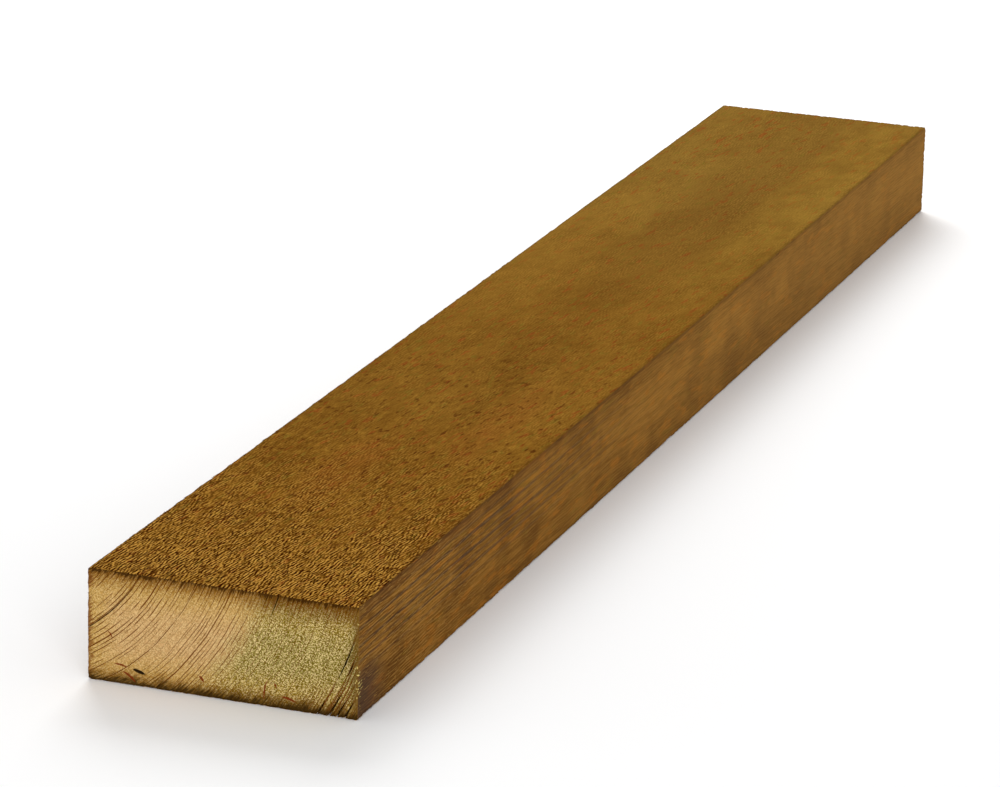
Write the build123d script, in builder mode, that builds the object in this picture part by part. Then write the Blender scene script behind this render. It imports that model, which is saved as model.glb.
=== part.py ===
from build123d import *
from math import atan2, cos, degrees, hypot, radians
import os

# A plank of rough-sawn, pressure-treated softwood, cut to length with a saw. It is one piece of timber.
# Millimetres, +Z up. It lies on a wide face, with the origin on the floor under its middle.
# +X runs across the width and +Y along the grain, away from the end that shows the open checks.

# Sawn size: a nominal 50 x 125 section, left a little full by the saw, in a stock length
plank_length = 900.0
plank_width = 125.0
plank_thickness = 51.0

# Edges: the four long arrises are worn round by handling, and each crosscut leaves a small broken edge
arris_radius = 1.2
crosscut_break = 0.4

# The heart of the tree lay outside the section, past its left edge and above its upper face
heart_past_edge = 50.0
heart_above_face = 44.0

# Drying checks open along the growth rings on the near end, widest halfway along and closing with depth
widest_gape = 0.9
deepest_check = 7.0
check_root_share = 0.3
# Each row: ring from the nearest corner to the furthest, where the check starts and stops along that
# ring from the lower left corner to the upper right one, and its size against the widest check
check_shares = [
    (0.156, 0.03, 0.56, 0.45),
    (0.593, 0.83, 1.02, 0.75),
    (0.876, 0.61, 0.70, 0.85),
    (0.878, 0.77, 0.90, 0.85),
    (0.902, 0.79, 0.85, 0.65),
    (0.911, 0.61, 0.74, 1.00),
    (0.934, 0.62, 0.74, 0.90),
    (0.958, 0.63, 0.74, 1.00),
]

# A bark pocket has dropped out of the near end and left a slim hollow near the lower left corner
pocket_length = 6.0
pocket_gape = 1.6
pocket_depth = 3.0
pocket_tilt = -16.0
pocket_across_share = 0.193
pocket_height_share = 0.135

# How far every cut starts outside the timber
overrun = 0.5

heart_x = -plank_width / 2 - heart_past_edge
heart_z = plank_thickness + heart_above_face
nearest_ring = hypot(heart_past_edge, heart_above_face)
furthest_ring = hypot(heart_past_edge + plank_width, heart_z)
lower_left_angle = degrees(atan2(-heart_z, heart_past_edge))
upper_right_angle = degrees(atan2(-heart_above_face, heart_past_edge + plank_width))

near_end = Plane.XZ.offset(plank_length / 2)


def between(low, high, share):
    """The value that lies this share of the way from low to high."""
    return low + share * (high - low)


def lens(tip, other_tip, bow, gape):
    """Draws a slim closed outline with two pointed tips, bowed off the line between them."""
    with BuildLine() as outline:
        SagittaArc(tip, other_tip, bow + gape / 2)
        SagittaArc(tip, other_tip, bow - gape / 2)
    make_face(outline.edges())


with BuildPart() as plank:
    # The sawn section, with its arrises worn round
    with BuildSketch(Plane.XZ) as section:
        Rectangle(plank_width, plank_thickness, align=(Align.CENTER, Align.MIN))
        fillet(section.vertices(), arris_radius)
    extrude(amount=plank_length / 2, both=True)
    chamfer(plank.faces().filter_by(Axis.Y).edges(), crosscut_break)

    # The open checks, each a wedge that follows its growth ring
    for ring_share, start_share, stop_share, size_share in check_shares:
        ring = between(nearest_ring, furthest_ring, ring_share)
        start_angle = between(lower_left_angle, upper_right_angle, start_share)
        stop_angle = between(lower_left_angle, upper_right_angle, stop_share)
        start = Vector(heart_x, heart_z) + Vector(ring, 0).rotate(Axis.Z, start_angle)
        stop = Vector(heart_x, heart_z) + Vector(ring, 0).rotate(Axis.Z, stop_angle)
        bow = -ring * (1 - cos(radians(stop_angle - start_angle) / 2))
        gape = widest_gape * size_share
        with BuildSketch(near_end.offset(overrun)):
            lens(start, stop, bow, gape)
        with BuildSketch(near_end.offset(-deepest_check * size_share)):
            lens(start, stop, bow, gape * check_root_share)
        loft(mode=Mode.SUBTRACT)

    # The bark pocket, a wedge that lies across the rings
    pocket_middle = Vector(
        between(-plank_width / 2, plank_width / 2, pocket_across_share),
        plank_thickness * pocket_height_share,
    )
    pocket_reach = Vector(pocket_length / 2, 0).rotate(Axis.Z, pocket_tilt)
    with BuildSketch(near_end.offset(overrun)):
        lens(pocket_middle - pocket_reach, pocket_middle + pocket_reach, 0, pocket_gape)
    with BuildSketch(near_end.offset(-pocket_depth)):
        lens(pocket_middle - pocket_reach, pocket_middle + pocket_reach, 0, pocket_gape * check_root_share)
    loft(mode=Mode.SUBTRACT)

plank.part.label = "plank"

os.makedirs("parts", exist_ok=True)
export_step(plank.part, "parts/plank.step")
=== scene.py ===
from math import atan2, cos, hypot, pi, radians, sin

import bmesh
import bpy
import numpy as np
from mathutils import Matrix, Vector, geometry


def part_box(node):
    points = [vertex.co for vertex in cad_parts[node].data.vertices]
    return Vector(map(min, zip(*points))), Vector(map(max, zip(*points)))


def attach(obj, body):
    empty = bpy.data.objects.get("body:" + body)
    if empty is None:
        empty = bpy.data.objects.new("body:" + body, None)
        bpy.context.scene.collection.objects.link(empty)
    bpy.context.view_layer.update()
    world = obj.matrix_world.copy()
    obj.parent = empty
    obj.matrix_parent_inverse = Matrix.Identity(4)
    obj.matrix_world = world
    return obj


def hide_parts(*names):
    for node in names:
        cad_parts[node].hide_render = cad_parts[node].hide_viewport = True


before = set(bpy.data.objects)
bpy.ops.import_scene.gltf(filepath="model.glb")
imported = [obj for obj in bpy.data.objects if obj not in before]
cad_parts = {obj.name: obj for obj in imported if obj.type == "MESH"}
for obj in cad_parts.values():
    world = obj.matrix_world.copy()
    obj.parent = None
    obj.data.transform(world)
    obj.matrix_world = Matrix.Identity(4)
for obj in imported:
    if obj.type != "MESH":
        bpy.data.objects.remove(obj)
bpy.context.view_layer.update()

# The sawn plank
# It is one length of softwood, sawn rough on four sides, soaked in a brown preservative and crosscut
# square. The saw tore its fibres, handling wore its arrises, and drying opened checks in its near end.
half_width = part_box("plank")[1].x
half_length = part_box("plank")[1].y
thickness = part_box("plank")[1].z
arris_radius = 0.0012
arris_steps = 4
crosscut_break = 0.0004

# How far apart the mesh's points lie round the section, on each end, and along the grain
upper_gap = 0.0006
right_gap = 0.0009
hidden_gap = 0.0016
near_end_gap = 0.0007
far_end_gap = 0.0015
station_count = 180
near_station_share = 0.4

# How far the points of an end stray from a grid, and how they are joined into triangles
strew_share = 0.3
inside_only = 1
merge_distance = 1e-7

# The heart of the tree, and where its rings turn from heartwood to sapwood
heart_x = -half_width - 0.050
heart_z = thickness + 0.044
sapwood_ring = 0.138
ring_pitch = 0.0019

# The fibres run a little askew to the plank's length
grain_slope = -0.09


class Wire:
    """A socket in a node tree. Sums on it add Math nodes, and add() puts in any other node."""

    def __init__(self, tree, socket=None):
        self.tree = tree
        self.socket = socket

    def add(self, kind, settings=(), sockets=(), output=0):
        """Puts in a node with its settings and its values or links, and gives back one output."""
        node = self.tree.nodes.new(kind)
        for name, value in dict(settings).items():
            setattr(node, name, value)
        for name, value in dict(sockets).items():
            shown = [s for s in node.inputs if s.enabled]
            socket = shown[name] if isinstance(name, int) else next(s for s in shown if s.name == name)
            if isinstance(value, Wire):
                self.tree.links.new(value.socket, socket)
            else:
                socket.default_value = value
        shown = [s for s in node.outputs if s.enabled]
        if not shown:
            return node
        found = shown[output] if isinstance(output, int) else next(s for s in shown if s.name == output)
        return Wire(self.tree, found)

    def sum(self, operation, *values):
        return self.add("ShaderNodeMath", {"operation": operation}, dict(enumerate(values)))

    def __add__(self, other):
        return self.sum("ADD", self, other)

    def __radd__(self, other):
        return self.sum("ADD", other, self)

    def __sub__(self, other):
        return self.sum("SUBTRACT", self, other)

    def __rsub__(self, other):
        return self.sum("SUBTRACT", other, self)

    def __mul__(self, other):
        return self.sum("MULTIPLY", self, other)

    def __rmul__(self, other):
        return self.sum("MULTIPLY", other, self)

    def __truediv__(self, other):
        return self.sum("DIVIDE", self, other)

    def __abs__(self):
        return self.sum("ABSOLUTE", self)

    def least(self, other):
        return self.sum("MINIMUM", self, other)

    def most(self, other):
        return self.sum("MAXIMUM", self, other)

    def ease(self, low, high):
        """Rises smoothly from 0 to 1 as the value goes from low to high."""
        sockets = {"Value": self, "From Min": low, "From Max": high}
        return self.add("ShaderNodeMapRange", {"interpolation_type": "SMOOTHSTEP"}, sockets)

    def vector(self, operation, *values):
        return self.add("ShaderNodeVectorMath", {"operation": operation}, dict(enumerate(values)))

    def parts(self):
        return [self.add("ShaderNodeSeparateXYZ", (), {"Vector": self}, name) for name in "XYZ"]

    def in_units(self, size):
        return {"Vector": self.vector("DIVIDE", self, size), "Scale": 1.0}

    def cloud(self, size, seed=0.0, detail=2.0):
        """Smooth random values about 0.5 at this place, in blotches of this size in metres."""
        sockets = {**self.in_units(size), "W": seed, "Detail": detail}
        return self.add("ShaderNodeTexNoise", {"noise_dimensions": "4D"}, sockets)

    def cells(self, size):
        """A random value from 0 to 1 for each of the cells that fill space, of this size in metres."""
        chance = self.add("ShaderNodeTexVoronoi", {"feature": "F1"}, self.in_units(size), "Color")
        return chance.parts()[0]

    def dots(self, size):
        """How far this place lies from the middle of its cell, in cells of this size in metres."""
        return self.add("ShaderNodeTexVoronoi", {"feature": "F1"}, self.in_units(size), "Distance")

    def strokes(self, size):
        """Fine ridges and grooves about 0.5 that run along Y, two to a patch of this size in metres."""
        sockets = {**self.in_units(size), "Frequency": 2.0, "Anisotropy": 0.95, "Orientation": 0.0}
        return self.add("ShaderNodeTexGabor", {"gabor_type": "2D"}, sockets)


def spread(start, stop, gap):
    """Places from start to just short of stop, about a gap apart."""
    count = max(1, round(abs(stop - start) / gap))
    return start + (stop - start) * np.arange(count) / count


def section_outline(inset):
    """The plank's section with its worn arrises, anticlockwise from the lower left, as (x, z) rows."""
    side = half_width - arris_radius
    lower = arris_radius
    upper = thickness - arris_radius
    radius = arris_radius - inset
    turn = spread(0, pi / 2, pi / 2 / arris_steps)
    rows = []

    def straight(xs, zs):
        rows.append(np.stack(np.broadcast_arrays(xs, zs), 1))

    def corner(x, z, start):
        rows.append(np.stack([x + radius * np.cos(start + turn), z + radius * np.sin(start + turn)], 1))

    straight(spread(-side, side, hidden_gap), inset)
    corner(side, lower, -pi / 2)
    straight(half_width - inset, spread(lower, upper, right_gap))
    corner(side, upper, 0)
    straight(spread(side, -side, upper_gap), thickness - inset)
    corner(-side, upper, pi / 2)
    straight(-half_width + inset, spread(upper, lower, hidden_gap))
    corner(-side, lower, pi)
    return np.concatenate(rows)


def end_filling(outline, gap, chance):
    """Points strewn inside an end's outline, and the triangles that join them to it."""
    x, z = np.meshgrid(np.arange(-half_width, half_width, gap), np.arange(0, thickness, gap))
    strewn = np.stack([x.ravel(), z.ravel()], 1)
    strewn += chance.uniform(-strew_share * gap, strew_share * gap, strewn.shape)
    middle = np.array([0, thickness / 2])
    room = np.array([half_width, thickness / 2]) - crosscut_break - gap / 2
    strewn = strewn[(np.abs(strewn - middle) < room).all(1)]
    places = [Vector(p) for p in np.concatenate([outline, strewn])]
    boundary = list(range(len(outline)))
    triangles = geometry.delaunay_2d_cdt(places, [], [boundary], inside_only, merge_distance)[2]
    return strewn, np.array(triangles)


def sawn_block():
    """A closed block of the plank's size, with points enough to carry the saw's relief."""
    chance = np.random.default_rng(7)
    full = section_outline(0)
    broken = section_outline(crosscut_break)
    shares = np.linspace(0, 1, station_count)
    graded = near_station_share * shares + (1 - near_station_share) * shares**2
    inner = half_length - crosscut_break
    stations = [(-half_length, broken)]
    stations += [(y, full) for y in -inner + 2 * inner * graded]
    stations += [(half_length, broken)]
    points = [np.insert(outline, 1, y, axis=1) for y, outline in stations]
    around = len(full)
    along = len(stations)
    here = np.arange(around)
    after = (here + 1) % around
    faces = []
    for j in range(along - 1):
        ring = j * around
        quads = np.stack([here + ring, here + ring + around, after + ring + around, after + ring], 1)
        faces += quads.tolist()
    count = around * along
    last_ring = around * (along - 1)
    for y, gap, ring in ((-half_length, near_end_gap, 0), (half_length, far_end_gap, last_ring)):
        strewn, triangles = end_filling(broken, gap, chance)
        number = np.concatenate([here + ring, count + np.arange(len(strewn))])
        faces += number[triangles if y < 0 else triangles[:, ::-1]].tolist()
        points.append(np.insert(strewn, 1, y, axis=1))
        count += len(strewn)
    mesh = bpy.data.meshes.new("sawn_block")
    mesh.from_pydata(np.concatenate(points).tolist(), [], faces)
    return mesh


def geometry_tree(name, sizes):
    """A geometry tree with a named input for each size. Returns the tree and a Wire for each input."""
    tree = bpy.data.node_groups.new(name, "GeometryNodeTree")
    tree.interface.new_socket("Geometry", in_out="INPUT", socket_type="NodeSocketGeometry")
    tree.interface.new_socket("Geometry", in_out="OUTPUT", socket_type="NodeSocketGeometry")
    for size in sizes:
        tree.interface.new_socket(size, in_out="INPUT", socket_type="NodeSocketFloat")
    entry = tree.nodes.new("NodeGroupInput")
    return tree, {s.name: Wire(tree, s) for s in entry.outputs if s.name}


def end_tree(result, material):
    """Ends a geometry tree: loose copies become real, and everything wears the material."""
    real = result.add("GeometryNodeRealizeInstances", (), {"Geometry": result})
    worn = real.add("GeometryNodeSetMaterial", (), {"Geometry": real, "Material": material})
    worn.add("NodeGroupOutput", (), {"Geometry": worn})


def placed(name, data):
    """A new object in the scene that holds this mesh, lamp or camera."""
    thing = bpy.data.objects.new(name, data)
    bpy.context.scene.collection.objects.link(thing)
    return thing


def make_plain(piece):
    """Gives a piece the plain mesh that its modifiers make, and takes them off."""
    made = bpy.data.meshes.new_from_object(piece.evaluated_get(bpy.context.evaluated_depsgraph_get()))
    piece.modifiers.clear()
    piece.data = made


def shaped(name, mesh, tree, sizes):
    """A piece with the plain mesh that a geometry tree makes of this one."""
    piece = placed(name, mesh)
    modifier = piece.modifiers.new(tree.name, "NODES")
    modifier.node_group = tree
    for item in tree.interface.items_tree:
        if item.name in sizes and item.in_out == "INPUT":
            modifier[item.identifier] = sizes[item.name]
    make_plain(piece)
    return piece


def distances(place):
    """How far a place lies inside the plank's edges, its ends and its wide faces."""
    x, y, z = place.parts()
    return half_width - abs(x), half_length - abs(y), z.least(thickness - z)


def face_shares(place, softness):
    """Shares that are 1 on the ends and on the narrow edges, and 0 elsewhere."""
    from_edge, from_end, from_face = distances(place)
    end = (from_edge.least(from_face) - from_end).ease(-softness, softness)
    edge = (from_end.least(from_face) - from_edge).ease(-softness, softness)
    return end, edge * (1 - end)


def from_arris(place):
    """How far a place lies from the nearest arris: the second least of its distances."""
    from_edge, from_end, from_face = distances(place)
    return from_edge.least(from_end).most(from_edge.most(from_end).least(from_face))


def colour(red, green, blue):
    """A colour as a screen shows it, from 0 to 255, made linear."""
    shares = [v / 255 for v in (red, green, blue)]
    return (*[s / 12.92 if s < 0.04045 else ((s + 0.055) / 1.055) ** 2.4 for s in shares], 1.0)


def blend(share, first, second):
    """The first colour where the share is 0, going to the second where it is 1."""
    return share.add("ShaderNodeMix", {"data_type": "RGBA"}, {"Factor": share, "A": first, "B": second})


def blend_value(share, first, second):
    """The first value where the share is 0, going to the second where it is 1."""
    return share.add("ShaderNodeMix", {"data_type": "FLOAT"}, {"Factor": share, "A": first, "B": second})


def bare_material(name):
    """A new material with no nodes yet, and a Wire to add them with."""
    material = bpy.data.materials.new(name)
    material.use_nodes = True
    material.node_tree.nodes.clear()
    return material, Wire(material.node_tree)


# Marks of the torn fibres. They are longer on the narrow edges, where the fibres lie flatter
fibre_width = 0.0031
fibre_length = 0.0027
edge_stretch = 0.28


def along_grain(place, edge):
    """A place as the fibres see it: X across them, on faces and edges alike, and Y along them."""
    x, y, z = place.parts()
    across = blend_value(edge, x + y * grain_slope, z)
    along = blend_value(edge, y, y * edge_stretch)
    return place.add("ShaderNodeCombineXYZ", (), {"X": across, "Y": along, "Z": z})


def growth_ring(place):
    """How far a place lies from the heart of the tree, and how far along its growth ring."""
    x, _, z = place.parts()
    across = x - heart_x
    down = z - heart_z
    ring = place.sum("SQRT", across * across + down * down)
    wander = (place.cloud((0.03, 0.3, 0.03), 1) - 0.5) * 0.002
    wander = wander + (place.cloud((0.005, 0.1, 0.005), 2) - 0.5) * 0.0004
    along = place.sum("ARCTAN2", down, across) * sapwood_ring
    return ring + wander, along


# Colours of the wide faces. Each stain goes from thick to thin
near_stain = (colour(112, 70, 16), colour(132, 89, 26))
middle_stain = (colour(109, 73, 22), colour(133, 93, 32))
far_stain = (colour(113, 81, 31), colour(133, 101, 41))
mottle_light = colour(166, 122, 44)
mottle_dark = colour(78, 40, 8)
face_olive = colour(112, 98, 32)
face_red = colour(136, 60, 24)
# Painted highlight on the ridges of the torn fibres, and painted shade in the gaps and pits between them
painted_fibre_highlight = colour(196, 146, 64)
painted_fibre_shade = colour(44, 8, 0)
spot_brown = colour(74, 32, 8)

# Stained patches on the wide faces: middle across and along, reach across and along, and colour
patch_share = 0.4
stain_patches = [
    (-0.012, -0.282, 0.014, 0.060, (132, 70, 26)),
    (-0.034, -0.434, 0.024, 0.016, (82, 50, 18)),
    (0.030, -0.190, 0.012, 0.070, (132, 74, 28)),
    (0.008, 0.240, 0.030, 0.220, (100, 66, 24)),
    (0.046, 0.280, 0.026, 0.240, (152, 116, 44)),
    (-0.046, 0.100, 0.026, 0.180, (146, 106, 40)),
]


def treated_skin(place, grain, strokes, rough):
    """The wide faces: clouds of stain, torn fibres with painted highlights and painted shade in their
    gaps, and red, olive and dark spots.

    Gives back their colour, and the height of their fine relief.
    """
    x, y = place.parts()[:2]
    from_near = y + half_length

    # Stain, which is paler towards the far end
    clouds = place.cloud((0.035, 0.12, 0.035), 3)
    patches = grain.cloud((0.010, 0.022, 0.010), 4)
    stain = (clouds * 0.6 + patches * 0.4).ease(0.28, 0.72)
    skin = blend(stain, *near_stain)
    skin = blend(y.ease(-0.40, -0.14), skin, blend(stain, *middle_stain))
    skin = blend(y.ease(-0.05, 0.30), skin, blend(stain, *far_stain))

    # Mottling, streaks of olive and red, and larger patches
    uneven = 1 - 0.8 * from_near.ease(0.10, 0.50)
    mottle = grain.cloud((0.0030, 0.0080, 0.0030), 21)
    skin = blend(mottle.ease(0.52, 0.66) * uneven * 0.35, skin, mottle_light)
    skin = blend(mottle.ease(0.46, 0.34) * uneven * 0.4, skin, mottle_dark)
    olive = grain.cloud((0.003, 0.014, 0.003), 7).ease(0.56, 0.68)
    skin = blend(olive * 0.45, skin, face_olive)
    red = grain.cloud((0.0026, 0.012, 0.0026), 8).ease(0.58, 0.67)
    skin = blend(red * 0.5, skin, face_red)
    uneven_patch = 0.5 + 0.5 * patches.ease(0.3, 0.7)
    for middle_x, middle_y, reach_x, reach_y, shade in stain_patches:
        across = (x - middle_x) / reach_x
        along = (y - middle_y) / reach_y
        patch = (across * across + along * along).ease(1.4, 0.0) * uneven_patch
        skin = blend(patch * patch_share, skin, colour(*shade))

    # Torn fibres, combed thickest by the near end: a painted highlight on their ridges, painted shade in
    # the gaps and pits between them, and dark spots
    combed = from_near.ease(0.09, 0.04)
    tufts = grain.cloud((0.008, 0.028, 0.008), 19).ease(0.36, 0.60).most(combed)
    torn = rough * (0.5 + 0.6 * tufts)
    skin = blend(strokes.ease(0.5, 0.68) * torn * 0.86, skin, painted_fibre_highlight)
    skin = blend(strokes.ease(0.53, 0.34) * torn * 0.9, skin, painted_fibre_shade)
    pits = grain.cloud((0.0007, 0.0036, 0.0007), 5, 1.0)
    skin = blend(pits.ease(0.42, 0.33) * torn * (0.7 - 0.4 * combed), skin, painted_fibre_shade)
    spots = grain.cloud((0.0022, 0.0075, 0.0022), 9, 1.0).ease(0.60, 0.70)
    spots = spots * from_near.ease(0.03, 0.08) * from_near.ease(0.58, 0.18)
    skin = blend(spots * 0.7, skin, spot_brown)
    return skin, (pits * 0.6 + strokes * 0.4) * rough


# Colours of the narrow edges. The stain goes from thick to thin
edge_stain = (colour(95, 62, 26), colour(154, 108, 46))
edge_smudge = colour(80, 50, 24)
edge_orange = colour(172, 104, 32)
edge_olive = colour(112, 92, 34)
edge_far = colour(154, 114, 60)
stripe_grey = colour(66, 56, 48)
# Painted highlight on the ridges of the flat fibres, and painted shade in their grooves
painted_edge_highlight = colour(174, 130, 66)
painted_edge_shade = colour(52, 22, 2)
arris_purple = colour(88, 56, 38)
arris_line = colour(62, 40, 30)
weathered_grey = colour(70, 54, 46)

# Growth rings that show as soft grey stripes along the narrow edges: height and strength
grey_stripes = [
    (0.0442, 0.5),
    (0.0398, 0.9),
    (0.0358, 0.5),
    (0.0320, 0.9),
    (0.0284, 0.5),
    (0.0248, 0.8),
    (0.0195, 0.4),
]


def edge_skin(place, strokes, rough):
    """The narrow edges: smoother than the faces, golden halfway up, with grey stripes and smudges."""
    x, y, z = place.parts()
    from_near = y + half_length
    from_top = thickness - z

    # Stain in streaks, with smudges and streaks of orange and olive, paler towards the far end
    clouds = place.cloud((0.02, 0.09, 0.02), 10)
    streaks = place.cloud((0.0024, 0.030, 0.0024), 11)
    golden = z.ease(0.012, 0.026) * from_top.ease(0.004, 0.013)
    tone = (clouds * 0.4 + streaks * 0.6).ease(0.34, 0.66) * 0.56 + golden * 0.22 + 0.15
    skin = blend(tone, *edge_stain)
    smudges = place.cloud((0.04, 0.026, 0.03), 13).ease(0.44, 0.70)
    skin = blend(smudges * 0.42, skin, edge_smudge)
    orange = place.cloud((0.004, 0.016, 0.004), 22).ease(0.54, 0.68)
    skin = blend(orange * 0.34, skin, edge_orange)
    olive = place.cloud((0.004, 0.020, 0.004), 23).ease(0.56, 0.70)
    skin = blend(olive * 0.30, skin, edge_olive)
    skin = blend(y.ease(-0.35, half_length) * 0.5, skin, edge_far)

    # Ring stripes that fade with distance, and flat fibres with a painted highlight on their ridges and
    # painted shade in their grooves
    wander = (place.cloud((0.02, 0.2, 0.02), 20) - 0.5) * 0.004 + y * 0.004
    unbroken = streaks.ease(0.28, 0.46) * from_near.ease(0.45, 0.12)
    for height, strength in grey_stripes:
        stripe = abs(z + wander - height).ease(0.0013, 0.0003) * unbroken
        skin = blend(stripe * (strength * 0.75), skin, stripe_grey)
    sawn = rough.most(0.4)
    skin = blend(strokes.ease(0.5, 0.68) * sawn * 0.34, skin, painted_edge_highlight)
    skin = blend(strokes.ease(0.5, 0.32) * sawn * 0.36, skin, painted_edge_shade)

    # A darker upper arris, and a weathered lower corner at the near end
    purple = from_top.ease(0.0065, 0.0015) * from_near.ease(0.50, 0.05)
    skin = blend(purple * 0.36, skin, arris_purple)
    worn_line = from_top.ease(0.0024, 0.0008) * from_near.ease(0.85, 0.25)
    skin = blend(worn_line * 0.24, skin, arris_line)
    weathered = from_near.ease(0.040, 0.008) * z.ease(0.028, 0.014) * x.ease(0.0, half_width)
    return blend(weathered * 0.75, skin, weathered_grey)


# A slim hollow near the lower left corner, where a bark pocket dropped out
pocket_length = 0.006
pocket_gape = 0.0016
pocket_depth = 0.003
pocket_tilt = radians(-16)
pocket_middle = (-half_width + 0.193 * 2 * half_width, 0.135 * thickness)

# Colours of the crosscuts
heartwood = (colour(197, 155, 100), colour(205, 163, 110))
sapwood_olive = (colour(130, 116, 45), colour(140, 126, 54))
margin_yellow = colour(178, 138, 48)
margin_orange = colour(148, 98, 22)
margin_brown = colour(122, 76, 12)
# Painted glints on the end grain, and painted highlight and shade on its raised and sunk grit
painted_glint = colour(228, 216, 146)
painted_grit_highlight = colour(232, 206, 146)
painted_grit_shade = colour(92, 70, 8)
sapwood_shade = colour(80, 60, 14)
ring_glow = colour(150, 92, 30)
ring_brown = colour(106, 54, 8)
bark_red = colour(116, 46, 16)
# Painted shade in the drying checks and in the hollow of the bark pocket
painted_hollow_shade = colour(30, 17, 7)

# Stained margins of the crosscuts and a painted shadow under the top arris: side, where each starts and
# where it is full, share and colour
stained_and_shaded_margins = [
    ("right", 0.0030, 0.0, 0.8, (112, 80, 30)),
    ("left", 0.0030, 0.0005, 0.8, (118, 68, 26)),
    ("top", 0.0050, 0.0010, 0.7, (104, 64, 14)),
    # A thin painted shadow under the top arris
    ("top", 0.0022, 0.0004, 0.8, (46, 24, 4)),
    ("bottom", 0.0060, 0.0015, 0.7, (84, 58, 16)),
    ("bottom", 0.0032, 0.0010, 0.75, (44, 28, 8)),
]

# Rings with strong lines, and flecks of bark: middle across and up, turn in degrees, length and width
strong_rings = (0.0866, 0.0953, 0.1105, 0.1249, 0.1830, 0.1861, 0.1873, 0.1888, 0.1904, 0.1935)
bark_flecks = [
    (-0.0468, 0.0089, -8, 0.0055, 0.0008),
    (-0.0427, 0.0043, -36, 0.0065, 0.0010),
    (-0.0092, 0.0081, -50, 0.0032, 0.0010),
    (0.0198, 0.0077, 80, 0.0075, 0.0007),
    (0.0248, 0.0102, -60, 0.0022, 0.0007),
    (0.0310, 0.0052, -12, 0.0060, 0.0010),
    (-0.0517, 0.0220, -58, 0.0034, 0.0006),
]


def turned(across, up, angle):
    """A place on an end, measured along and across a line that is turned by this angle."""
    return across * cos(angle) + up * sin(angle), up * cos(angle) - across * sin(angle)


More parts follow.
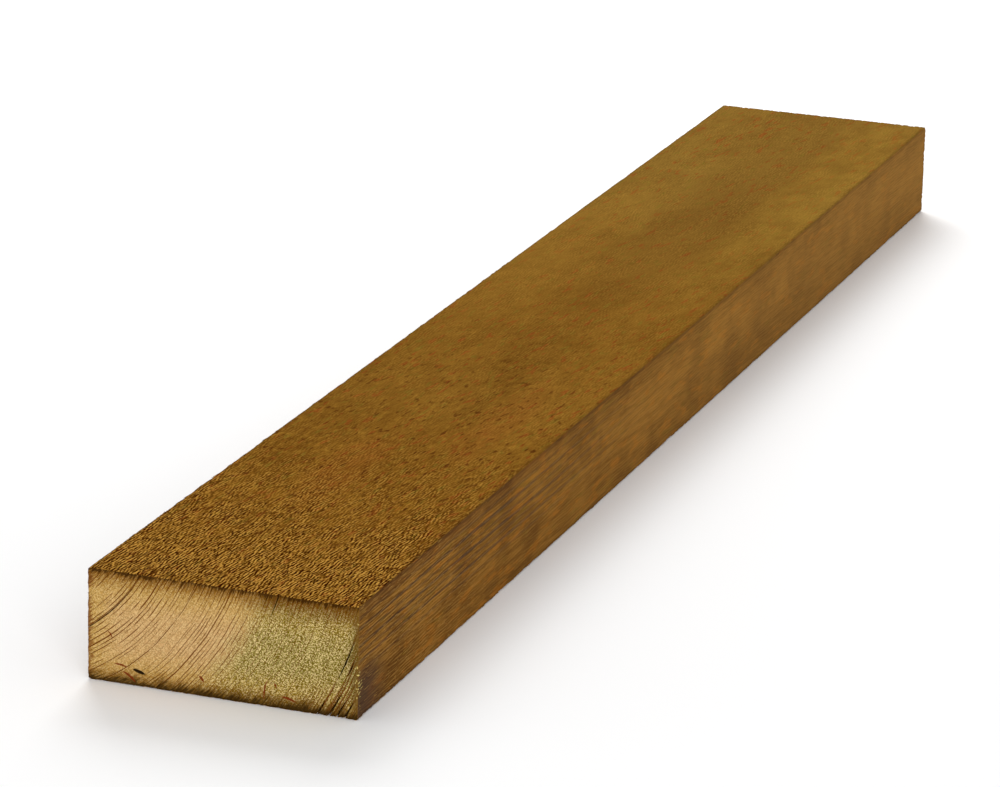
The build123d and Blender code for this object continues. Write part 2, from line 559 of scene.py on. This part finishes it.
def crosscut_skin(place, ring, along):
    """The sawn ends: heartwood, greenish sapwood, dark ring lines, stained margins, and painted glints,
    highlights and shade.

    Gives back their colour, and the height of their fine relief.
    """
    x, y, z = place.parts()
    grit = place.cells((0.00034, 0.00034, 0.00034))
    glint_specks = place.dots((0.0008, 0.0008, 0.0008)).ease(0.36, 0.16)
    mottle = place.cloud((0.006, 0.006, 0.006), 15)
    polar = place.add("ShaderNodeCombineXYZ", (), {"X": ring, "Y": along, "Z": y})
    broken = polar.cloud((0.0012, 0.018, 0.05), 17)
    ragged = (place.cloud((0.006, 0.006, 0.006), 16) - 0.5) * 0.006
    ragged = ragged + (polar.cloud((0.0006, 0.006, 0.05), 18) - 0.5) * 0.010
    top = thickness - z + ragged
    bottom = z + ragged
    left = x + half_width + ragged
    right = half_width - x + ragged

    # Pale heartwood and olive sapwood, yellow and orange towards the sawn faces, with bright specks
    # painted as glints, and grit painted light where the bump raises it and dark where it sinks
    border = ring + (mottle - 0.5) * 0.012 + (grit - 0.5) * 0.008
    sapwood = border.ease(sapwood_ring - 0.008, sapwood_ring + 0.008)
    pale = blend(mottle.ease(0.2, 0.8), *heartwood)
    olive = blend(mottle.ease(0.25, 0.75), *sapwood_olive)
    cut = blend(sapwood, pale, olive)
    yellow = top.ease(0.022, 0.004).most(left.ease(0.018, 0.001)).most(bottom.ease(0.020, 0.004))
    cut = blend(yellow * 0.6, cut, margin_yellow)
    orange = top.ease(0.010, 0.002).most(bottom.ease(0.009, 0.002))
    cut = blend(orange * 0.6, cut, margin_orange)
    cut = blend(glint_specks * (0.1 + 0.3 * sapwood), cut, painted_glint)
    cut = blend(grit.ease(0.50, 0.85) * (0.4 + 0.35 * sapwood), cut, painted_grit_highlight)
    cut = blend(grit.ease(0.50, 0.15) * (0.35 + 0.45 * sapwood), cut, painted_grit_shade)
    shaded = top.ease(0.014, 0.003).most(right.ease(0.007, 0.001)).most(bottom.ease(0.009, 0.002))
    cut = blend(shaded * sapwood * 0.6, cut, sapwood_shade)
    cut = blend(orange * 0.3, cut, margin_brown)

    # Ring lines, broken along their length, and closer together where the tree grew slowly
    rings_passed = ring / ring_pitch + 5 * ring.ease(0.104, 0.142) + 5 * ring.ease(0.166, 0.198)
    from_line = place.add(
        "ShaderNodeTexVoronoi",
        {"voronoi_dimensions": "1D", "feature": "DISTANCE_TO_EDGE"},
        {"W": rings_passed, "Scale": 1.0, "Randomness": 0.9},
    )
    corner = ring.ease(0.166, 0.180) * z.ease(0.024, 0.006)
    fringe = top.ease(0.013, 0.003)
    banded = abs(ring - 0.094).ease(0.016, 0.008).most(ring.ease(0.113, 0.122))
    present = broken.ease(0.40, 0.56) * (0.2 + 0.8 * banded) * (1 - 0.55 * sapwood)
    present = present.most(fringe * broken.ease(0.36, 0.52)).most(corner * broken.ease(0.34, 0.50))
    lines = from_line.ease(0.13, 0.05) * present
    line_reach = 0.00024 + 0.0003 * corner
    unbroken = broken.ease(0.38, 0.48)
    for strong_ring in strong_rings:
        lines = lines.most(abs(ring - strong_ring).ease(line_reach, 0.00008) * unbroken)
    cut = blend(from_line.ease(0.25, 0.0) * present * 0.2, cut, ring_glow)
    cut = blend(lines * 0.95, cut, ring_brown)

    # Stain that soaked in from the sawn faces and a painted shadow under the top arris, flecks of bark
    # on the near end, and painted shade in the checks and the bark pocket's hollow
    inside = {"top": top, "bottom": bottom, "left": left, "right": right}
    for side, start, full, share, shade in stained_and_shaded_margins:
        cut = blend(inside[side].ease(start, full) * share, cut, colour(*shade))
    near = y.ease(0.0, -half_length)
    for middle_x, middle_z, turn, length, width in bark_flecks:
        ahead, rise = turned(x - middle_x, z - middle_z, radians(turn))
        bow = rise + ahead * ahead * (0.25 / length) + ragged * 0.1
        fleck = ahead * ahead * (4 / length**2) + bow * bow * (4 / width**2)
        cut = blend(fleck.ease(1.8, 0.6) * near * 0.95, cut, bark_red)
    ahead, rise = turned(x - pocket_middle[0], z - pocket_middle[1], pocket_tilt)
    rim = ahead * ahead * (4 / pocket_length**2) + rise * rise * (4 / pocket_gape**2)
    # Painted shade deep in the checks, and over the bark pocket's opening on the near end
    sunk = (half_length - abs(y)).ease(0.0004, 0.0012).most(rim.ease(1.2, 0.7) * near)
    cut = blend(sunk * 0.95, cut, painted_hollow_shade)
    return cut, grit * 0.7 - lines


# Colours of handled arrises, and of loose fibres that are darker, lighter or redder than the rest
handled_brown = colour(58, 36, 18)
loose_dark = colour(62, 22, 0)
loose_light = colour(190, 146, 74)
loose_red = colour(160, 76, 26)


def timber(name, loose=False):
    """Brown treated softwood, with pale heartwood and greenish sapwood where it is crosscut."""
    material, wire = bare_material(name)
    place = wire.add("ShaderNodeTexCoord", output="Object")
    y = place.parts()[1]
    end, edge = face_shares(place, 0.0003)
    grain = along_grain(place, edge)
    flecks = (grain.cells((0.0006, 0.0022, 0.0006)) - 0.5) * 0.3
    strokes = grain.strokes((fibre_width, fibre_length, 1.0)) + flecks
    rough = 1 - 0.85 * (y + half_length).ease(0.03, 0.24)
    skin, torn = treated_skin(place, grain, strokes, rough)
    skin = blend(edge, skin, edge_skin(place, strokes, rough))
    handled = from_arris(place).ease(0.0026, 0.0006) * (half_length - abs(y)).ease(0.001, 0.006)
    skin = blend(handled * 0.22, skin, handled_brown)
    if loose:
        shade = place.add("ShaderNodeAttribute", {"attribute_name": "fibre_tone"}, (), "Fac")
        skin = blend(shade.ease(0.40, 0.10) * rough * 0.5, skin, loose_dark)
        skin = blend(shade.ease(0.60, 0.90) * rough * 0.5, skin, loose_light)
        skin = blend(shade.ease(0.94, 0.96) * rough * 0.5, skin, loose_red)
    ring, along = growth_ring(place)
    cut, cut_relief = crosscut_skin(place, ring, along)
    surface = blend(end, skin, cut)

    # Fine relief that is too small for the mesh
    height = torn * (1 - end) + cut_relief * end
    bump = place.add("ShaderNodeBump", (), {"Strength": 0.7, "Distance": 0.0005, "Height": height})
    sockets = {"Base Color": surface, "Roughness": 0.9 - 0.2 * torn, "Normal": bump}
    shader = place.add("ShaderNodeBsdfPrincipled", (), {**sockets, "Specular IOR Level": 0.0})
    place.add("ShaderNodeOutputMaterial", (), {"Surface": shader})
    return material


# Relief in the mesh: marks of fibres, pits between them, torn end grain and chipped arrises
relief_sizes = {
    "Fibre width": fibre_width,
    "Fibre length": fibre_length,
    "Fibre depth": 0.00013,
    "Pit width": 0.0016,
    "Pit length": 0.0080,
    "Pit depth": 0.00012,
    "Edge fibre depth": 0.00007,
    "End tear depth": 0.00006,
    "Chip width": 0.0018,
    "Chip depth": 0.0004,
    "Seed": 3.0,
}


def saw_relief(material):
    """A tree that sinks the block's skin into torn fibres, pits and chipped arrises."""
    tree, size = geometry_tree("saw_relief", relief_sizes)
    place = Wire(tree).add("GeometryNodeInputPosition")
    normal = place.add("GeometryNodeInputNormal")
    y = place.parts()[1]

    def patch(width, length):
        return place.add("ShaderNodeCombineXYZ", (), {"X": width, "Y": length, "Z": width})

    end, edge = face_shares(place, 0.0004)
    grain = along_grain(place, edge)
    wide = 1 - end - edge
    calm = (y / half_length).ease(-0.85, 0.1) * 0.7
    fibres = grain.strokes(patch(size["Fibre width"], size["Fibre length"])).ease(0.68, 0.34)
    pits = grain.cloud(patch(size["Pit width"], size["Pit length"]), size["Seed"] + 1).ease(0.54, 0.68)
    tear = place.cloud((0.0012, 0.0012, 0.0012), size["Seed"] + 2).ease(0.3, 0.7)
    chips = place.cloud((0.0015, 0.004, 0.0015), size["Seed"] + 3).ease(0.45, 0.66)
    depth = wide * (fibres * size["Fibre depth"] + pits * size["Pit depth"]) * (1 - calm)
    depth = depth + edge * fibres * size["Edge fibre depth"]
    depth = depth + end * tear * size["End tear depth"]
    depth = depth + from_arris(place).ease(size["Chip width"], 0.0) * chips * size["Chip depth"]
    sockets = {"Vector": normal, "Scale": 0 - depth}
    sunk = normal.add("ShaderNodeVectorMath", {"operation": "SCALE"}, sockets)
    moved = place.add("GeometryNodeSetPosition", (), {"Geometry": size["Geometry"], "Offset": sunk})
    end_tree(moved, material)
    return tree


# Drying checks, each open along its growth ring: the ring from the nearest corner to the furthest, where
# the check starts and stops between the lower left and upper right corners, and its size
nearest_ring = hypot(half_width + heart_x, heart_z - thickness)
furthest_ring = hypot(half_width - heart_x, heart_z)
lower_left_turn = atan2(-heart_z, -half_width - heart_x)
upper_right_turn = atan2(thickness - heart_z, half_width - heart_x)
widest_gape = 0.0009
deepest_check = 0.007
check_root_share = 0.3
check_shares = [
    (0.156, 0.03, 0.56, 0.45),
    (0.593, 0.83, 1.02, 0.75),
    (0.876, 0.61, 0.70, 0.85),
    (0.878, 0.77, 0.90, 0.85),
    (0.902, 0.79, 0.85, 0.65),
    (0.911, 0.61, 0.74, 1.00),
    (0.934, 0.62, 0.74, 0.90),
    (0.958, 0.63, 0.74, 1.00),
]
check_steps = 30
check_overrun = 0.0005
check_raggedness = (0.8, 1.4)


def wedge(middle_line, sideways, gape, depth, ragged):
    """Points and faces of a wedge that opens at the near end, along a line of (x, z) rows."""
    count = len(middle_line)
    swell = 4 * np.linspace(0, 1, count) * np.linspace(1, 0, count) * ragged
    points = []
    for y, share in ((-half_length - check_overrun, 1), (-half_length + depth, check_root_share)):
        half = sideways * (swell * gape * share / 2)[:, None]
        loop = np.concatenate([middle_line + half, (middle_line - half)[-2:0:-1]])
        points.append(np.insert(loop, 1, y, axis=1))
    around = 2 * count - 2
    faces = [list(range(around)), list(range(2 * around - 1, around - 1, -1))]
    faces += [[(i + 1) % around, i, around + i, around + (i + 1) % around] for i in range(around)]
    return np.concatenate(points), faces


def check_cutters():
    """All the wedges that drying opens in the near end, and the hollow of a lost bark pocket."""
    chance = np.random.default_rng(11)
    points = []
    faces = []

    def keep(made):
        faces.extend([[i + len(points) for i in face] for face in made[1]])
        points.extend(made[0].tolist())

    for ring_share, start_share, stop_share, size_share in check_shares:
        ring = nearest_ring + ring_share * (furthest_ring - nearest_ring)
        turn = np.linspace(start_share, stop_share, check_steps) * (upper_right_turn - lower_left_turn)
        turn += lower_left_turn
        sideways = np.stack([np.cos(turn), np.sin(turn)], 1)
        line = np.array([heart_x, heart_z]) + ring * sideways
        ragged = chance.uniform(*check_raggedness, check_steps)
        keep(wedge(line, sideways, widest_gape * size_share, deepest_check * size_share, ragged))
    reach = np.linspace(-pocket_length / 2, pocket_length / 2, check_steps)[:, None]
    line = np.array(pocket_middle) + reach * np.array([cos(pocket_tilt), sin(pocket_tilt)])
    sideways = np.tile([-sin(pocket_tilt), cos(pocket_tilt)], (check_steps, 1))
    keep(wedge(line, sideways, pocket_gape, pocket_depth, 1.0))
    mesh = bpy.data.meshes.new("check_cutters")
    mesh.from_pydata(points, [], faces)
    whole = bmesh.new()
    whole.from_mesh(mesh)
    bmesh.ops.recalc_face_normals(whole, faces=whole.faces)
    whole.to_mesh(mesh)
    whole.free()
    return mesh


def cut_open(piece, mesh):
    """Takes the cutters' space out of a piece."""
    cutter = placed(mesh.name, mesh)
    modifier = piece.modifiers.new("open_checks", "BOOLEAN")
    modifier.object = cutter
    modifier.operation = "DIFFERENCE"
    modifier.solver = "MANIFOLD"
    make_plain(piece)
    bpy.data.objects.remove(cutter)


# How near to a side of the plank a face lies, and how squarely it looks that way, to be mapped with it
map_reach = 0.002
map_facing = 0.3

# Homes on the plank's map: the axis and the way that a home's faces look, the two axes that are laid out
# flat, and the home's left, bottom, right and top. Later homes win: the walls of the checks come first,
# then the four long faces, then the two ends
plank_homes = [
    (None, 0, [0, 2], (0.755, 0.005, 0.995, 0.205)),
    (0, -1, [1, 2], (0.005, 0.215, 0.995, 0.295)),
    (2, -1, [1, 0], (0.005, 0.305, 0.995, 0.435)),
    (0, 1, [1, 2], (0.005, 0.445, 0.995, 0.610)),
    (2, 1, [1, 0], (0.005, 0.620, 0.995, 0.995)),
    (1, 1, [0, 2], (0.505, 0.005, 0.745, 0.205)),
    (1, -1, [0, 2], (0.005, 0.005, 0.495, 0.205)),
]


def bake_map(piece, homes):
    """Lays a piece's faces out flat, each in its home on one map, so that the finish can be baked."""
    mesh = piece.data

    def read(items, name, kind, width):
        values = np.empty(len(items) * width, kind)
        items.foreach_get(name, values)
        return values.reshape(-1, width)

    middles = read(mesh.polygons, "center", np.float32, 3)
    facings = read(mesh.polygons, "normal", np.float32, 3)
    totals = read(mesh.polygons, "loop_total", np.int32, 1)[:, 0]
    corners = read(mesh.loops, "vertex_index", np.int32, 1)[:, 0]
    points = read(mesh.vertices, "co", np.float32, 3)
    low = np.array([-half_width, -half_length, 0])
    high = np.array([half_width, half_length, thickness])
    shares = ((points - low) / (high - low))[corners]
    places = np.zeros((len(corners), 2))
    for way, sign, axes, (left, bottom, right, top) in homes:
        if way is None:
            chosen = np.ones(len(middles), bool)
        else:
            side = high[way] if sign > 0 else low[way]
            chosen = np.abs(middles[:, way] - side) < map_reach
            chosen &= facings[:, way] * sign > map_facing
        chosen = np.repeat(chosen, totals)
        flat = shares[:, axes] * [right - left, top - bottom] + [left, bottom]
        places[chosen] = flat[chosen]
    layer = mesh.uv_layers.new(name="OFBake")
    layer.data.foreach_set("uv", places.astype(np.float32).ravel())


treated_timber = timber("treated_timber")
sawn_plank = shaped("sawn_plank", sawn_block(), saw_relief(treated_timber), relief_sizes)
cut_open(sawn_plank, check_cutters())
sawn_plank.data.shade_smooth()
bake_map(sawn_plank, plank_homes)
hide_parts("plank")
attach(sawn_plank, "root")

# Torn fibres
# The saw leaves slivers of fibre standing on the sawn faces. They are the plank's own timber, still
# rooted at one end and lying along the grain, thickest on the wide faces near the near end.
fibre_sizes = {
    "Sliver length": 0.0060,
    "Sliver width": 0.0003,
    "Sliver height": 0.0004,
    "Splay": 0.07,
    "Rise": 0.07,
    "Slivers per square metre": 0.0,
    "Facing across": 0.0,
    "Facing up": 0.0,
    "From": 0.0,
    "To": 0.0,
    "Seed": 5.0,
}
# Each stretch: its face's facing across and up, from and to along the plank, and slivers a square metre
fibre_zones = {
    "torn_fibres_upper_near": (0.0, 1.0, -0.450, -0.150, 300000.0),
    "torn_fibres_upper_far": (0.0, 1.0, -0.150, 0.450, 300000.0),
    "torn_fibres_underside": (0.0, -1.0, -0.450, 0.450, 250000.0),
    "torn_fibres_right_edge": (1.0, 0.0, -0.450, 0.450, 250000.0),
    "torn_fibres_left_edge": (-1.0, 0.0, -0.450, 0.450, 250000.0),
}


def slivers(name, sizes, chosen, material):
    """A tree that strews slivers over a surface, where the chosen field is above 0."""
    tree, size = geometry_tree(name, sizes)
    place = Wire(tree).add("GeometryNodeInputPosition")
    normal = place.add("GeometryNodeInputNormal")
    density = size["Slivers per square metre"] * chosen(place, normal, size)
    strewn = place.add(
        "GeometryNodeDistributePointsOnFaces",
        {"distribute_method": "RANDOM"},
        {"Mesh": size["Geometry"], "Density": density, "Seed": 4},
    )

    def chance(low, high, seed):
        sockets = {"Min": low, "Max": high, "Seed": seed}
        return place.add("FunctionNodeRandomValue", {"data_type": "FLOAT"}, sockets)

    toned = strewn.add(
        "GeometryNodeStoreNamedAttribute",
        {"data_type": "FLOAT", "domain": "POINT"},
        {"Geometry": strewn, "Name": "fibre_tone", "Value": chance(0.0, 1.0, 1)},
    )
    # Each sliver is a bead of eight faces, laid along the grain and scaled to its own size
    bead = place.add("GeometryNodeMeshUVSphere", (), {"Segments": 4, "Rings": 2, "Radius": 0.5})
    lying = bead.add("GeometryNodeTransform", (), {"Geometry": bead, "Rotation": (pi / 2, pi / 4, 0.0)})
    splay = size["Splay"] * chance(-1.0, 1.0, 2)
    rise = size["Rise"] * chance(-1.0, 1.0, 3)
    up_share = abs(size["Facing up"])
    turn = place.add(
        "ShaderNodeCombineXYZ",
        (),
        {
            "X": rise * up_share + splay * (1 - up_share),
            "Z": (splay + grain_slope) * up_share + rise * (1 - up_share),
        },
    )
    scale = place.add(
        "ShaderNodeCombineXYZ",
        (),
        {
            "X": size["Sliver width"] * chance(0.5, 1.4, 4),
            "Y": size["Sliver length"] * chance(0.4, 1.4, 5),
            "Z": size["Sliver height"] * chance(0.5, 1.4, 6),
        },
    )
    grown = toned.add(
        "GeometryNodeInstanceOnPoints",
        (),
        {"Points": toned, "Instance": lying, "Rotation": turn, "Scale": scale},
    )
    # Slivers that would reach past the plank are pressed back to its faces
    real = grown.add("GeometryNodeRealizeInstances", (), {"Geometry": grown})
    inside = place.vector("MINIMUM", place, (half_width, half_length, thickness))
    inside = place.vector("MAXIMUM", inside, (-half_width, -half_length, 0.0))
    kept = real.add("GeometryNodeSetPosition", (), {"Geometry": real, "Position": inside})
    end_tree(kept, material)
    return tree


# Slivers are fewer past the near third: what share of them is lost, and between which places along
thinned_share = 0.77
thinning = (-0.40, -0.15)


def one_face(place, normal, size):
    """Tufts on one stretch of one face."""
    y = place.parts()[1]
    across, _, up = normal.parts()
    facing = across * size["Facing across"] + up * size["Facing up"]
    stretch = y.sum("GREATER_THAN", y, size["From"]) * y.sum("LESS_THAN", y, size["To"])
    tufts = place.cloud((0.003, 0.007, 0.003), size["Seed"]).ease(0.20, 0.60)
    remaining = 1 - thinned_share * y.ease(*thinning)
    return facing.sum("GREATER_THAN", facing, 0.5) * stretch * tufts * remaining


# The slivers of each stretch fill a map of their own, up to this margin
map_margin = 0.005
map_room = 1 - 2 * map_margin

fibre_tree = slivers("torn_fibres", fibre_sizes, one_face, timber("torn_fibre", loose=True))
for zone_name, (facing_across, facing_up, start, stop, per_square_metre) in fibre_zones.items():
    sizes = {
        **fibre_sizes,
        "Facing across": facing_across,
        "Facing up": facing_up,
        "From": start,
        "To": stop,
        "Slivers per square metre": per_square_metre,
    }
    fibres = shaped(zone_name, sawn_plank.data, fibre_tree, sizes)
    map_length = map_room * 2 * half_length / (stop - start)
    map_start = map_margin - map_length * (start + half_length) / (2 * half_length)
    home = (map_start, map_margin, map_start + map_length, 1 - map_margin)
    bake_map(fibres, [(None, 0, [1, 0] if facing_up else [1, 2], home)])
    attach(fibres, "root")

# Broken chips
# Where the crosscut saw left the timber it broke pale chips out of the right arris of the near end. They
# still hang on by their fibres.
chip_sizes = {
    **fibre_sizes,
    "Sliver length": 0.0040,
    "Sliver width": 0.0006,
    "Sliver height": 0.0010,
    "Splay": 0.2,
    "Rise": 0.15,
    "Slivers per square metre": 1000000.0,
    "Facing across": 1.0,
}
chip_colours = (colour(110, 78, 32), colour(216, 196, 116))


def near_right_arris(place, normal, size):
    """The lower part of the arris between the near end and the right edge, in ragged tufts."""
    x, y, z = place.parts()
    arris = (x - half_width).ease(-0.0016, -0.0008) * (y + half_length).ease(0.0030, 0.0012)
    tufts = place.cloud((0.002, 0.002, 0.0025), size["Seed"]).ease(0.46, 0.60)
    return arris * tufts * (0.15 + z.ease(0.034, 0.022))


def pale_chip():
    """Fresh torn sapwood, from straw to a pale greenish yellow."""
    material, wire = bare_material("pale_chip")
    shade = wire.add("ShaderNodeAttribute", {"attribute_name": "fibre_tone"}, (), "Fac")
    chip = blend(shade.ease(0.2, 0.9), *chip_colours)
    sockets = {"Base Color": chip, "Roughness": 0.85, "Specular IOR Level": 0.0}
    shader = wire.add("ShaderNodeBsdfPrincipled", (), sockets)
    wire.add("ShaderNodeOutputMaterial", (), {"Surface": shader})
    return material


# The chips all lie in the first hundredth of the plank, which is stretched over their map
chip_map_end = 100.0
chip_tree = slivers("broken_chips", chip_sizes, near_right_arris, pale_chip())
chips = shaped("broken_chips", sawn_plank.data, chip_tree, chip_sizes)
bake_map(chips, [(None, 0, [1, 2], (map_margin, map_margin, chip_map_end, 1 - map_margin))])
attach(chips, "root")

# The studio
# A pale floor, a white room for even light, and large soft lamps: one behind that rakes the sawn face,
# one in front that fills the crosscut end and the right edge.
floor_reach = 6.0
floor_white = colour(248, 248, 248)
room_light = 0.60

floor_mesh = bpy.data.meshes.new("floor")
corners = [(x * floor_reach, y * floor_reach, 0) for x, y in ((-1, -1), (1, -1), (1, 1), (-1, 1))]
floor_mesh.from_pydata(corners, [], [(0, 1, 2, 3)])
floor = placed("floor", floor_mesh)
paper = bpy.data.materials.new("pale_paper")
paper.use_nodes = True
paper_shader = paper.node_tree.nodes["Principled BSDF"]
paper_shader.inputs["Base Color"].default_value = floor_white
paper_shader.inputs["Roughness"].default_value = 0.9
paper_shader.inputs["Specular IOR Level"].default_value = 0.1
floor_mesh.materials.append(paper)

room = bpy.data.worlds.new("white_room")
room.use_nodes = True
room.node_tree.nodes["Background"].inputs["Color"].default_value = (1, 1, 1, 1)
room.node_tree.nodes["Background"].inputs["Strength"].default_value = room_light
bpy.context.scene.world = room


def way_to(azimuth, elevation):
    """The way from the plank to these angles, in degrees. Azimuth 0 is in front and 90 on the right."""
    turn = radians(azimuth)
    rise = radians(elevation)
    return Vector((sin(turn) * cos(rise), -cos(turn) * cos(rise), sin(rise)))


def facing_back(way):
    """The turn of a lamp or camera that stands this way off and looks back."""
    return way.to_track_quat("Z", "Y").to_matrix().to_4x4()


def soft_lamp(name, azimuth, elevation, distance, size, power):
    """A square lamp that faces the plank."""
    light = bpy.data.lights.new(name, "AREA")
    light.size = size
    light.energy = power
    way = way_to(azimuth, elevation)
    placed(name, light).matrix_world = Matrix.Translation(way * distance) @ facing_back(way)


soft_lamp("back_lamp", azimuth=205, elevation=40, distance=2.5, size=1.4, power=42)
soft_lamp("front_lamp", azimuth=22, elevation=20, distance=2.8, size=1.8, power=34)

# The camera stands where the photograph was taken from, far off with a long lens
camera_azimuth = 19.63
camera_elevation = 17.40
camera_roll = 1.45
camera_distance = 2.471
camera_aim = Vector((-0.0380, 0.0, 0.0030))
camera_lens = 173.66
camera_sensor = 36.0

camera_data = bpy.data.cameras.new("camera")
camera_data.lens = camera_lens
camera_data.sensor_width = camera_sensor
camera = placed("camera", camera_data)
way = way_to(camera_azimuth, camera_elevation)
stand = Matrix.Translation(camera_aim + way * camera_distance)
camera.matrix_world = stand @ facing_back(way) @ Matrix.Rotation(radians(camera_roll), 4, "Z")
bpy.context.scene.camera = camera
bpy.context.scene.view_settings.view_transform = "Standard"
